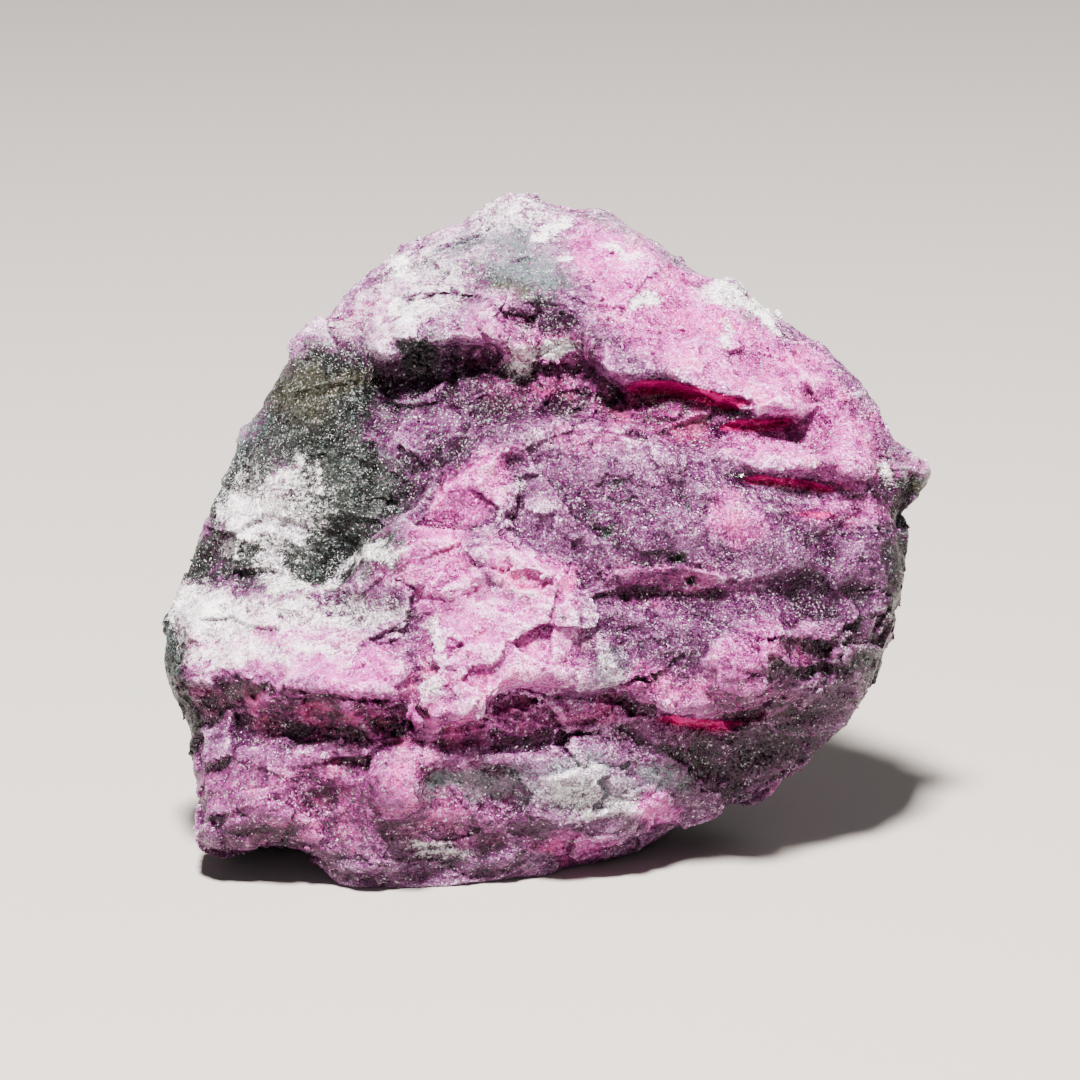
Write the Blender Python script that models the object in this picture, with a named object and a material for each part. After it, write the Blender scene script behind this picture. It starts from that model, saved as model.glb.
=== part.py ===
"""A rough piece of ruby grown through a dark grey-green matrix, standing on one fracture face.

The stone is a single natural solid. A sphere is drawn out to the stone's outline and thickness, flat
fracture facets are struck off it, raised slabs and sunk hollows are laid into its broad front, and
chips of two sizes roughen what is left. The stone is then leant back and cut flat where it rests.

Frame: metres, +Z up, +X to the right along the broad front, +Y away from that front. The origin is on
the resting plane, under the middle of the stone's box. Sizes below are in mm.

The stone is shaped on its own broad face, which leans back: (across, up, out) are measured from the
core, to the right, up the face and out of it.
"""

import math
from dataclasses import dataclass

import bmesh
import bpy
from mathutils import Matrix, Vector, noise

MM = 0.001

# Driving dimensions
CORE_HEIGHT = 31.0
FACE_LEAN = 17.0
FRONT_THICKNESS = 13.5
BACK_THICKNESS = 25.0
FRONT_ROUNDING = 2.3
BACK_ROUNDING = 2.0

SPHERE_LEVEL = 6
SKIN_CELL = 0.75
SKIN_KEPT = 0.142
REST_SNAP = 0.35

# Ruby in its purple-grey matrix, as one colour
STONE_COLOR = (0.34, 0.10, 0.23)
STONE_ROUGHNESS = 0.55

# The stone's outline on its broad face, clockwise from the peak, as (across, up). Along the foot it
# runs on below the resting plane, which cuts it off.
OUTLINE = (
    (-3.0, 34.8), (-1.2, 34.4), (0.6, 33.5), (3.3, 33.2), (5.9, 32.7), (9.0, 31.3), (11.6, 29.5),
    (14.2, 27.7), (15.8, 26.4), (18.9, 25.6), (21.0, 24.6), (23.1, 23.0), (25.7, 20.6), (27.8, 19.1),
    (29.9, 17.2), (32.0, 15.4), (34.1, 12.8), (34.6, 10.8), (36.2, 9.8), (38.0, 8.4), (39.0, 6.8),
    (37.8, 4.7), (36.5, 4.0), (36.2, 1.4), (36.1, -1.2), (35.7, -5.4), (34.9, -9.1), (34.1, -12.2),
    (33.1, -14.8), (30.7, -17.4), (28.9, -20.1), (26.8, -22.7), (24.7, -24.8), (22.6, -26.1),
    (19.5, -26.9), (16.9, -28.0), (14.2, -29.2), (11.6, -30.5), (9.0, -31.5), (5.9, -32.3),
    (2.7, -33.2), (-1.5, -34.6), (-7.7, -36.5), (-13.0, -38.0), (-18.0, -38.0), (-20.6, -35.0),
    (-21.6, -32.6), (-23.4, -31.0), (-26.6, -30.0), (-30.2, -30.6), (-33.4, -30.5), (-34.1, -28.9),
    (-34.0, -26.8), (-33.4, -24.8), (-34.4, -22.7), (-35.2, -20.0), (-36.0, -17.4), (-37.3, -14.8),
    (-38.3, -12.0), (-38.0, -10.1), (-37.5, -7.5), (-36.8, -5.4), (-35.7, -2.3), (-33.9, 0.9),
    (-32.6, 3.5), (-31.5, 6.6), (-30.5, 9.8), (-28.9, 12.9), (-27.1, 16.0), (-24.5, 19.2),
    (-22.1, 21.8), (-20.0, 24.0), (-15.6, 26.2), (-14.0, 28.1), (-11.9, 29.9), (-9.3, 31.2),
    (-7.2, 32.0), (-5.1, 34.1),
)


@dataclass(frozen=True)
class Facet:
    """A flat fracture face struck off the stone, square to a direction from the core."""

    name: str
    toward: tuple  # (across, up, out)
    reach: float  # from the core


@dataclass(frozen=True)
class Slab:
    """A raised slab on the broad face, or a sunk one where lift is negative, with a broken edge."""

    name: str
    outline: tuple  # (across, up) corners
    lift: float  # at the middle of the outline
    edge: float  # width of its broken edge
    rise: float = 0.0  # change of lift for each mm up the face
    lean: float = 0.0  # change of lift for each mm to the right


FACETS = (
    Facet("shoulder_left", (-0.42, 0.62, 0.66), 24.0),
    Facet("shoulder_middle", (0.05, 0.66, 0.75), 24.0),
    Facet("shoulder_right", (0.47, 0.55, 0.69), 24.6),
    Facet("matrix_side", (-0.74, 0.16, 0.65), 27.0),
    Facet("right_front", (0.42, -0.10, 0.90), 19.5),
    Facet("right_side", (0.95, -0.30, 0.05), 35.9),
    Facet("foot_left", (0.10, -0.50, 0.86), 20.0),
    Facet("foot_right", (0.30, -0.62, 0.72), 22.0),
    Facet("underside_right", (0.42, -0.86, 0.28), 30.5),
    Facet("back_upper", (-0.10, 0.62, -0.78), 23.0),
    Facet("back_right", (0.66, 0.18, -0.73), 24.5),
    Facet("back_left", (-0.70, 0.10, -0.71), 25.5),
    Facet("back_middle", (0.05, -0.10, -0.99), 19.5),
    Facet("back_lower", (0.16, -0.74, -0.65), 29.5),
    Facet("back_top_left", (-0.58, 0.66, -0.48), 27.5),
)

SLABS = (
    Slab("shoulder_hollow", ((-14.5, 18.0), (-11.5, 19.4), (-6, 18.8), (-3.6, 18.2), (-2.2, 16.2),
                             (-0.8, 18.6), (3.8, 18.8), (5.2, 16.4), (7.5, 14.6), (4.4, 12.6),
                             (-1, 11.6), (-6, 10.6), (-11, 10.0), (-15, 12.0), (-17, 15.2)),
         -4.6, 2.0, -0.28, 0.02),
    Slab("tongue_hollow", ((-4.0, 22.4), (-0.6, 22.8), (3.6, 22.2), (4.0, 19.0), (-0.6, 19.2)),
         -2.0, 1.4, -0.3),
    Slab("lip_recess", ((6.0, 15.4), (12, 15.9), (17.5, 14.2), (21, 13.0), (28, 12.2), (30, 11.4),
                        (28, 8.6), (20, 7.6), (12, 9.0), (5.5, 11.0)), -2.5, 1.0, -0.45),
    Slab("matrix_recess", ((-33.5, 0.5), (-31, 9), (-26, 16.5), (-20, 20.0), (-15.5, 17.2),
                           (-13.6, 11.5), (-7, 9.0), (-11.2, 5.4), (-14.4, 0.6), (-19.4, -4.2),
                           (-34, -4.9), (-36, -4.0)), -2.6, 1.6, 0.08, -0.03),
    Slab("crest", ((-5.6, 8.0), (-3.2, 6.8), (-2.0, 4.0), (-3.6, 1.6), (-0.6, -1.0), (2.2, -3.6),
                   (4.4, -7.2), (7.4, -10.0), (8.3, -13.6), (4.0, -14.4), (-1.0, -14.2),
                   (-4.6, -15.4), (-4.9, -17.4), (-11.0, -18.6), (-14.0, -13.0), (-14.2, -8.6),
                   (-19.8, -4.6), (-15.2, 0.2), (-11.4, 5.0), (-8.2, 6.2)), 2.4, 0.9, -0.02, 0.03),
    Slab("left_shelf", ((-38.5, -5.0), (-19.6, -4.8), (-14.4, -8.6), (-13.4, -13.0), (-13.2, -15.6),
                        (-20, -15.4), (-34, -14.4), (-39, -13.5)), 2.0, 1.6, -0.40, 0.03),
    Slab("cluster", ((-11.0, -7.4), (-5.4, -5.4), (0.4, -5.6), (3.6, -8.6), (2.6, -12.6),
                     (-4.0, -13.8), (-5.6, -17.4), (-10.8, -17.6), (-12.2, -14.8), (-10.0, -11.8)),
         1.0, 0.8, -0.06, 0.04),
    Slab("crest_step", ((-14.8, 0.0), (-10.4, 1.0), (-4.4, -0.4), (-1.0, -1.2), (1.6, -3.6),
                        (-3.6, -4.6), (-9.0, -4.2), (-16.0, -5.2)), 0.9, 0.9, -0.1),
    Slab("shelf_recess", ((-36, -15.0), (-20, -15.8), (-12.6, -17.4), (-11, -19.0), (-4.8, -18.2),
                          (-4.4, -15.6), (-1, -14.6), (4, -14.8), (9.6, -15.2), (10.4, -19.6),
                          (2, -20.8), (-10, -19.8), (-20, -20.4), (-35, -19.6)), -1.1, 1.2, -0.1),
    Slab("foot", ((-35, -20.2), (-20, -20.8), (-10, -20.4), (2, -21.2), (9.0, -20.8), (13.6, -25.0),
                  (11.0, -29.8), (2, -33), (-10, -40), (-20, -40), (-24, -31.5), (-36, -31)),
         1.5, 2.0, -0.04, -0.02),
    Slab("foot_lump", ((-16.4, -22.0), (-14, -21.2), (-11.4, -22.4), (-12, -26.4), (-14.8, -27.2),
                       (-16.8, -24.6)), 1.3, 0.9),
    Slab("pale_lump", ((-0.4, -24.8), (3.4, -22.8), (8.6, -23.4), (9.2, -26.0), (5.6, -28.6),
                       (0.6, -28.0)), 1.3, 1.0),
    Slab("foot_groove", ((-12, -24.6), (-2, -25.2), (-1, -26.6), (-11, -26.2)), -0.9, 0.9),
    Slab("right_hollow", ((10.6, -16.4), (16, -17.0), (28, -15.4), (31.5, -16.2), (28, -21.5),
                          (16, -24.0), (12.6, -21.0)), -2.2, 1.8, -0.1, 0.05),
    Slab("right_slit", ((18.0, 7.0), (30.0, 6.0), (31.5, 4.8), (28, 2.2), (19, 3.0)), -1.2, 0.8, -0.4),
    Slab("right_recess", ((10, -3.4), (20, -4.2), (33, -4.8), (33, -8.6), (20, -8.4), (10, -7.2),
                          (4.6, -6.0)), -1.1, 1.4, -0.3),
    Slab("right_lump", ((15.0, -11.8), (19.6, -8.2), (24.0, -9.2), (24.4, -12.4), (18.6, -15.0)),
         1.3, 1.2, -0.1),
    Slab("middle_swell", ((-1.0, 3.0), (4, 9.0), (12, 9.6), (16.0, 5.0), (14, -1.0), (6, -3.0)),
         0.7, 2.2, -0.06),
    Slab("nose_groove", ((33.2, 12), (35.0, 9.0), (34.6, 4.6), (33.2, 4.0), (32.6, 8.0)), -1.0, 1.2),
)


def polar_outline():
    """The outline as (angle, radius) about the core, sorted by angle."""
    return sorted((math.atan2(up, across), math.hypot(across, up)) for across, up in OUTLINE)


POLAR = polar_outline()


def outline_radius(angle):
    """The outline's distance from the core in that direction."""
    before = POLAR[-1][0] - math.tau, POLAR[-1][1]
    for after in (*POLAR, (POLAR[0][0] + math.tau, POLAR[0][1])):
        if angle <= after[0]:
            share = (angle - before[0]) / (after[0] - before[0])
            return before[1] + share * (after[1] - before[1])
        before = after
    return before[1]


def inside_by(across, up, corners):
    """How far a point of the face lies inside a closed outline, negative outside it."""
    nearest = math.inf
    inside = False
    ax, az = corners[-1]
    for bx, bz in corners:
        dx, dz = bx - ax, bz - az
        share = ((across - ax) * dx + (up - az) * dz) / (dx * dx + dz * dz)
        share = min(1.0, max(0.0, share))
        nearest = min(nearest, math.hypot(across - ax - share * dx, up - az - share * dz))
        if (az > up) != (bz > up) and across < ax + (up - az) / dz * dx:
            inside = not inside
        ax, az = bx, bz
    return nearest if inside else -nearest


def smooth_step(share):
    share = min(1.0, max(0.0, share))
    return share * share * (3 - 2 * share)


def slab_lift(slab, across, up):
    """How far a slab raises the face at a point."""
    depth = inside_by(across, up, slab.outline)
    if depth <= -slab.edge / 2:
        return 0.0
    middle = sum((Vector(corner) for corner in slab.outline), Vector((0, 0))) / len(slab.outline)
    lift = slab.lift + slab.rise * (up - middle.y) + slab.lean * (across - middle.x)
    return lift * smooth_step(depth / slab.edge + 0.5)


def body_point(direction):
    """Where a point of the unit sphere goes on the smooth body, as (across, up, out)."""
    share = min(1.0, math.hypot(direction.x, direction.y))
    angle = math.atan2(direction.y, direction.x)
    radius = share * outline_radius(angle)
    rounding = FRONT_ROUNDING if direction.z > 0 else BACK_ROUNDING
    thickness = FRONT_THICKNESS if direction.z > 0 else BACK_THICKNESS
    fullness = (1 - share**rounding) ** (1 / rounding)
    out = math.copysign(thickness * fullness, direction.z)
    return Vector((radius * math.cos(angle), radius * math.sin(angle), out))


def struck(point):
    """The point brought in to the nearest fracture facet, if one cuts it off."""
    for facet in FACETS:
        reach = point.dot(Vector(facet.toward).normalized())
        if reach > facet.reach:
            point = point * (facet.reach / reach)
    return point


def chip(point, cell, step, tilt, seed):
    """How far the chip under a point stands out: each cell of a broken face is one tilted flake."""
    where = Vector((point.x / 1.4, point.y, point.z)) / cell + Vector((seed, 0, 0))
    _, centres = noise.voronoi(where)
    shade = noise.cell_vector(centres[0] * 37.0) * 2 - Vector((1, 1, 1))
    return step * shade.x + tilt * cell * shade.dot(where - centres[0])


def roughness(point):
    """How far chips and lumps move the skin out at a point."""
    lumps = 0.9 * noise.fractal(point / 9.0, 0.9, 2.0, 3)
    rim = 0.45 + 0.55 * smooth_step(abs(point.z) / 6.0)
    return rim * (lumps + chip(point, 8.0, 0.5, 0.16, 3.1) + chip(point, 3.6, 0.25, 0.16, 7.7))


def rough_stone():
    """The stone's skin in mm, as (across, up, out)."""
    mesh = bmesh.new()
    bmesh.ops.create_icosphere(mesh, subdivisions=SPHERE_LEVEL, radius=1.0)
    for vertex in mesh.verts:
        point = struck(body_point(vertex.co.normalized()))
        if point.z > 0:
            fade = smooth_step(point.z / 5.0)
            point.z += fade * sum(slab_lift(slab, point.x, point.y) for slab in SLABS)
        vertex.co = point
    mesh.normal_update()
    for vertex in mesh.verts:
        vertex.co += vertex.normal * roughness(vertex.co)
    return mesh


def even_skin(mesh):
    """The same skin rebuilt from small even faces, then thinned where it is flat."""
    data = bpy.data.meshes.new("rough")
    mesh.to_mesh(data)
    mesh.free()
    rough = bpy.data.objects.new("rough", data)
    bpy.context.scene.collection.objects.link(rough)
    even = rough.modifiers.new("even", "REMESH")
    even.mode = "VOXEL"
    even.voxel_size = SKIN_CELL * MM
    thin = rough.modifiers.new("thin", "DECIMATE")
    thin.ratio = SKIN_KEPT
    skin = bmesh.new()
    skin.from_object(rough, bpy.context.evaluated_depsgraph_get())
    bpy.data.objects.remove(rough)
    return skin


def stand(mesh):
    """Leans the stone back off its face and raises its core to its height."""
    lean = Matrix.Rotation(math.radians(90 - FACE_LEAN), 4, "X")
    bmesh.ops.transform(mesh, matrix=Matrix.Translation((0, 0, CORE_HEIGHT * MM)) @ lean, verts=mesh.verts)


def cut_flat(mesh):
    """Cuts away what is below the resting plane and closes the cut with one flat face."""
    for vertex in mesh.verts:
        if abs(vertex.co.z) < REST_SNAP * MM:
            vertex.co.z = 0.0
    everything = [*mesh.verts, *mesh.edges, *mesh.faces]
    cut = bmesh.ops.bisect_plane(mesh, geom=everything, dist=1e-6, plane_co=(0, 0, 0),
                                 plane_no=(0, 0, 1), clear_inner=True)
    rim = [part for part in cut["geom_cut"] if isinstance(part, bmesh.types.BMEdge)]
    bmesh.ops.contextual_create(mesh, geom=rim)
    bmesh.ops.triangulate(mesh, faces=mesh.faces)
    bmesh.ops.recalc_face_normals(mesh, faces=mesh.faces)


def centre(mesh):
    """Moves the stone so that the middle of its box stands over the origin."""
    for axis in (Vector((1, 0, 0)), Vector((0, 1, 0))):
        places = [vertex.co.dot(axis) for vertex in mesh.verts]
        bmesh.ops.translate(mesh, vec=axis * -(min(places) + max(places)) / 2, verts=mesh.verts)


def stone_material():
    material = bpy.data.materials.new("ruby_in_matrix")
    material.use_nodes = True
    shader = material.node_tree.nodes["Principled BSDF"]
    shader.inputs["Base Color"].default_value = (*STONE_COLOR, 1.0)
    shader.inputs["Roughness"].default_value = STONE_ROUGHNESS
    shader.inputs["Metallic"].default_value = 0.0
    return material


def main():
    for old in list(bpy.data.objects):
        bpy.data.objects.remove(old)
    mesh = rough_stone()
    bmesh.ops.scale(mesh, vec=(MM, MM, MM), verts=mesh.verts)
    skin = even_skin(mesh)
    stand(skin)
    cut_flat(skin)
    centre(skin)
    data = bpy.data.meshes.new("raw_ruby")
    skin.to_mesh(data)
    skin.free()
    data.materials.append(stone_material())
    stone = bpy.data.objects.new("raw_ruby", data)
    bpy.context.scene.collection.objects.link(stone)


main()
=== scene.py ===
"""Looks of a rough piece of ruby grown through a dark matrix: skin, minerals, grains and studio.

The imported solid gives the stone's size, place and main forms. Here its skin is rebuilt finely, broken
into ledges, slits, chips and grain, painted with its minerals and strewn with small loose crystals.
Lengths are in millimetres unless a name ends in _m. Most places are given on the stone's broad face,
as (across, up, out) from the stone's core.
"""

import logging
import math
from dataclasses import dataclass
from enum import Enum

import bmesh
import bpy
import numpy as np
from mathutils import Matrix, Vector, noise


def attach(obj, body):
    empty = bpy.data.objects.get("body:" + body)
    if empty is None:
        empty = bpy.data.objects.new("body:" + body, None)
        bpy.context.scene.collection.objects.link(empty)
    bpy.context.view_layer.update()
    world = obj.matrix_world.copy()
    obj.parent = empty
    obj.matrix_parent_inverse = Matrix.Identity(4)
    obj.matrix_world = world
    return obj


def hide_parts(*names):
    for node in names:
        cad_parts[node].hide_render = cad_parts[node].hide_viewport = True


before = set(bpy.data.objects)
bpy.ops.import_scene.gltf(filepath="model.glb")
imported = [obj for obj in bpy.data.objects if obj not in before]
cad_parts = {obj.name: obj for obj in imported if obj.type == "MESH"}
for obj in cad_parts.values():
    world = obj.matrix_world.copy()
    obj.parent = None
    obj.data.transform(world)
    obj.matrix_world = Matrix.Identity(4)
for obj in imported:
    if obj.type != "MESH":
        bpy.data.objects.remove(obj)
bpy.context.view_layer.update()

LOG = logging.getLogger("raw_ruby")
MM = 0.001
SWIRL_SEED = 2  # The noise of the swirls follows the clock unless it is seeded


# --------------------------------------------------------------------------------------------------
# Small helpers
# --------------------------------------------------------------------------------------------------


def smooth_step(share: np.ndarray) -> np.ndarray:
    """Eases 0 to 1 smoothly, held outside that range."""
    share = np.clip(share, 0.0, 1.0)
    return share * share * (3.0 - 2.0 * share)


def linear(colour: str) -> tuple[float, float, float, float]:
    """Turns an sRGB hex colour into linear RGBA.

    Args:
        colour: Six hex digits, with or without a leading hash.

    Returns:
        The linear red, green, blue and an alpha of 1.
    """
    digits = colour.lstrip("#")
    parts = [int(digits[i : i + 2], 16) / 255 for i in (0, 2, 4)]
    return (*(c / 12.92 if c <= 0.04045 else ((c + 0.055) / 1.055) ** 2.4 for c in parts), 1.0)


def lumps(points: np.ndarray, size: float, octaves: int = 3, seed: float = 0.0) -> np.ndarray:
    """Smooth fractal noise at each point.

    Args:
        points: Places, one row each.
        size: Width of the largest lumps.
        octaves: How many times smaller lumps are laid on.
        seed: Shifts the pattern.

    Returns:
        One value a point, mostly -1 to 1.
    """
    shift = Vector((seed, 1.7 * seed, -seed))
    return np.array([noise.fractal(Vector(p) / size + shift, 1.0, 2.0, octaves) for p in points])


def warped(points: np.ndarray, size: float, reach: float, seed: float = 0.0) -> np.ndarray:
    """Pushes each point about by smooth noise, so that plain shapes measured there come out ragged.

    Args:
        points: Places, one row each.
        size: Width of the noise's swirls.
        reach: How far points are pushed.
        seed: Shifts the pattern.

    Returns:
        The pushed points.
    """
    shift = Vector((seed, -seed, seed))
    push = [
        noise.turbulence_vector(Vector(p) / size + shift, 3, False, amplitude_scale=0.6)
        for p in points
    ]
    return points + reach * np.array(push)


def flakes(points: np.ndarray, size: float, step: float, tilt: float, seed: float) -> np.ndarray:
    """Height of a surface broken into flat flakes.

    Args:
        points: Places, one row each.
        size: Width of a flake.
        step: Height difference from flake to flake.
        tilt: Slope of the flakes.
        seed: Shifts the pattern.

    Returns:
        One height a point.
    """
    shift = Vector((seed, -seed, 0.5 * seed))
    heights = np.empty(len(points))
    for index, point in enumerate(points):
        where = Vector(point) / size + shift
        centre = noise.voronoi(where)[1][0]
        shade = noise.cell_vector(centre * 37.0) * 2 - Vector((1, 1, 1))
        heights[index] = step * shade.x + tilt * size * shade.dot(where - centre)
    return heights


# --------------------------------------------------------------------------------------------------
# Places on the stone
# --------------------------------------------------------------------------------------------------


@dataclass(frozen=True)
class BroadFace:
    """The leaning plane that the stone's front is laid out on, as it looks from straight ahead."""

    lean: float = 17.0
    core: tuple[float, float, float] = (-0.14, -1.59, 31.0)
    eye: float = 450.0

    def place(self, points_m: np.ndarray) -> np.ndarray:
        """Turns points in metres in the stone's frame into (across, up, out).

        Args:
            points_m: Points in metres, one row each.

        Returns:
            The same points in millimetres on the broad face's own axes; nearer parts spread a little,
            as they do for an eye straight ahead.
        """
        away = points_m / MM - np.array(self.core)
        sine, cosine = math.sin(math.radians(self.lean)), math.cos(math.radians(self.lean))
        up = away[:, 2] * cosine + away[:, 1] * sine
        out = away[:, 2] * sine - away[:, 1] * cosine
        spread = self.eye / (self.eye - out)
        return np.stack([away[:, 0] * spread, up * spread, out], axis=1)

    def outward(self) -> np.ndarray:
        """Direction out of the broad face, in the stone's frame."""
        turn = math.radians(self.lean)
        return np.array([0.0, -math.cos(turn), math.sin(turn)])


FACE = BroadFace()


def oval(places: np.ndarray, centre: tuple[float, float], size: tuple[float, float],
         turn: float) -> np.ndarray:
    """How far inside an oval on the broad face each point is.

    Args:
        places: (across, up, out) of each point.
        centre: The oval's middle, across and up.
        size: Half its length and half its width.
        turn: How far its length is turned from level, in degrees.

    Returns:
        1 at the middle, 0 at the rim, negative outside.
    """
    angle = math.radians(turn)
    across, up = places[:, 0] - centre[0], places[:, 1] - centre[1]
    along = (across * math.cos(angle) + up * math.sin(angle)) / size[0]
    beside = (up * math.cos(angle) - across * math.sin(angle)) / size[1]
    return 1.0 - np.hypot(along, beside)


class Run(Enum):
    """Which way a ledge or a slit runs over the broad face."""

    ACROSS = 0
    UP = 1


@dataclass(frozen=True)
class Ledge:
    """A broken edge: the face stands proud on one side of a line and drops sharply at it.

    The line is at least two points, across and up, or up and across for a ledge that runs up.
    """

    name: str
    run: Run
    line: tuple[tuple[float, float], ...]
    drop: float
    reach: float
    proud_side: int = 1
    sharp: float = 0.45
    ragged: float = 0.5
    fade: float = 1.5

    def lift(self, places: np.ndarray, jitter: np.ndarray) -> np.ndarray:
        """How far the ledge raises the face.

        Args:
            places: (across, up, out) of each point.
            jitter: Ragged noise that breaks the edge, one value a point.

        Returns:
            The lift at each point.
        """
        along, beside = places[:, self.run.value], places[:, 1 - self.run.value]
        marks, offsets = zip(*sorted(self.line))
        side = self.proud_side * (beside - np.interp(along, marks, offsets)) + self.ragged * jitter
        ends = smooth_step((along - marks[0]) / self.fade)
        ends *= smooth_step((marks[-1] - along) / self.fade)
        fall = smooth_step(side / self.sharp + 0.5) * (1 - smooth_step(side / self.reach))
        return self.drop * ends * fall


@dataclass(frozen=True)
class Slit:
    """A narrow open cleft under a sharp lip, floored with clear red ruby."""

    name: str
    line: tuple[tuple[float, float], ...]
    width: float
    depth: float
    redness: float = 1.0
    ragged: float = 0.25
    lip: float = 0.3
    fade: float = 3.0

    def share(self, places: np.ndarray, jitter: np.ndarray, spare: float = 0.0) -> np.ndarray:
        """How much of the cleft's depth each point has.

        Args:
            places: (across, up, out) of each point.
            jitter: Ragged noise that breaks the lip, one value a point.
            spare: How much further the cleft's colour reaches than its walls.

        Returns:
            0 outside, 1 at the deepest.
        """
        marks, offsets = zip(*sorted(self.line))
        across = places[:, 0]
        below = np.interp(across, marks, offsets) - places[:, 1] + self.ragged * jitter
        ends = smooth_step((across - marks[0]) / self.fade)
        ends *= smooth_step((marks[-1] - across) / self.fade)
        width = self.width * (0.35 + 0.65 * ends) + spare
        wall = 1 - smooth_step((below - 0.45 * width) / (0.75 * width))
        return np.sqrt(ends) * (smooth_step((below + spare) / self.lip) * wall)


class Mineral(Enum):
    """What a patch of the stone is made of; the dark veil is painted shade, the pale one partly painted
    sheen.
    """

    PINK = "pink"
    MATRIX = "matrix"
    WHITE = "white"
    CRIMSON = "crimson"
    TEAL = "teal"
    OLIVE = "olive"
    # Painted shade in the hollows and under the ledges; on the back, darker tone by chance
    DARK_AND_PAINTED_SHADE = "dark"
    # Paler ruby, partly painted sheen on the tops lit from above
    PALE_AND_PAINTED_SHEEN = "blush"


@dataclass(frozen=True)
class Patch:
    """An oval patch of one mineral on the broad face, raised a little or not at all."""

    mineral: Mineral
    centre: tuple[float, float]
    size: tuple[float, float]
    turn: float = 0.0
    strength: float = 1.0
    lift: float = 0.0

    def nearness(self, places: np.ndarray) -> np.ndarray:
        """How far inside the patch each point is: 1 at its middle, 0 at its rim, negative outside."""
        return oval(places, self.centre, self.size, self.turn)


def patches(mineral: Mineral, *rows: tuple[float, ...]) -> list[Patch]:
    """Makes the patches of one mineral.

    Args:
        mineral: What they are made of.
        *rows: Across and up of the middle, half the length, half the width, turn in degrees, strength,
            and the lift where the patch is raised.

    Returns:
        The patches, in the order of their rows.
    """
    return [Patch(mineral, row[:2], row[2:4], *row[4:]) for row in rows]


@dataclass(frozen=True)
class Texture:
    """How one part of the face is broken: into flat chips or into fibres."""

    name: str
    centre: tuple[float, float]
    size: tuple[float, float]
    turn: float
    chips: float
    fibres: float


TEXTURES = (
    Texture("cluster", (-3.0, -7.5), (10.0, 11.0), -30, 1.0, 0.15),
    Texture("crest", (-8.0, 3.0), (7.0, 4.0), 40, 0.8, 0.3),
    Texture("left shelf", (-26.0, -9.5), (14.0, 6.5), -5, 0.4, 0.9),
    Texture("matrix", (-24.0, 7.0), (13.0, 14.0), 20, 0.45, 0.7),
    Texture("shoulder", (16.0, 21.0), (24.0, 9.0), -33, 0.5, 0.6),
    Texture("left shoulder", (-12.0, 23.0), (12.0, 6.0), 30, 0.6, 0.6),
    Texture("right face", (19.0, -1.0), (18.0, 15.0), 0, 0.1, 0.2),
    Texture("top", (1.0, 32.0), (16.0, 5.0), 0, 0.35, 0.3),
    Texture("cluster foot", (3.0, -16.0), (9.0, 3.6), 0, 1.3, 0.2),
    Texture("foot", (-10.0, -26.0), (26.0, 7.0), 0, 0.5, 0.25),
)

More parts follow.
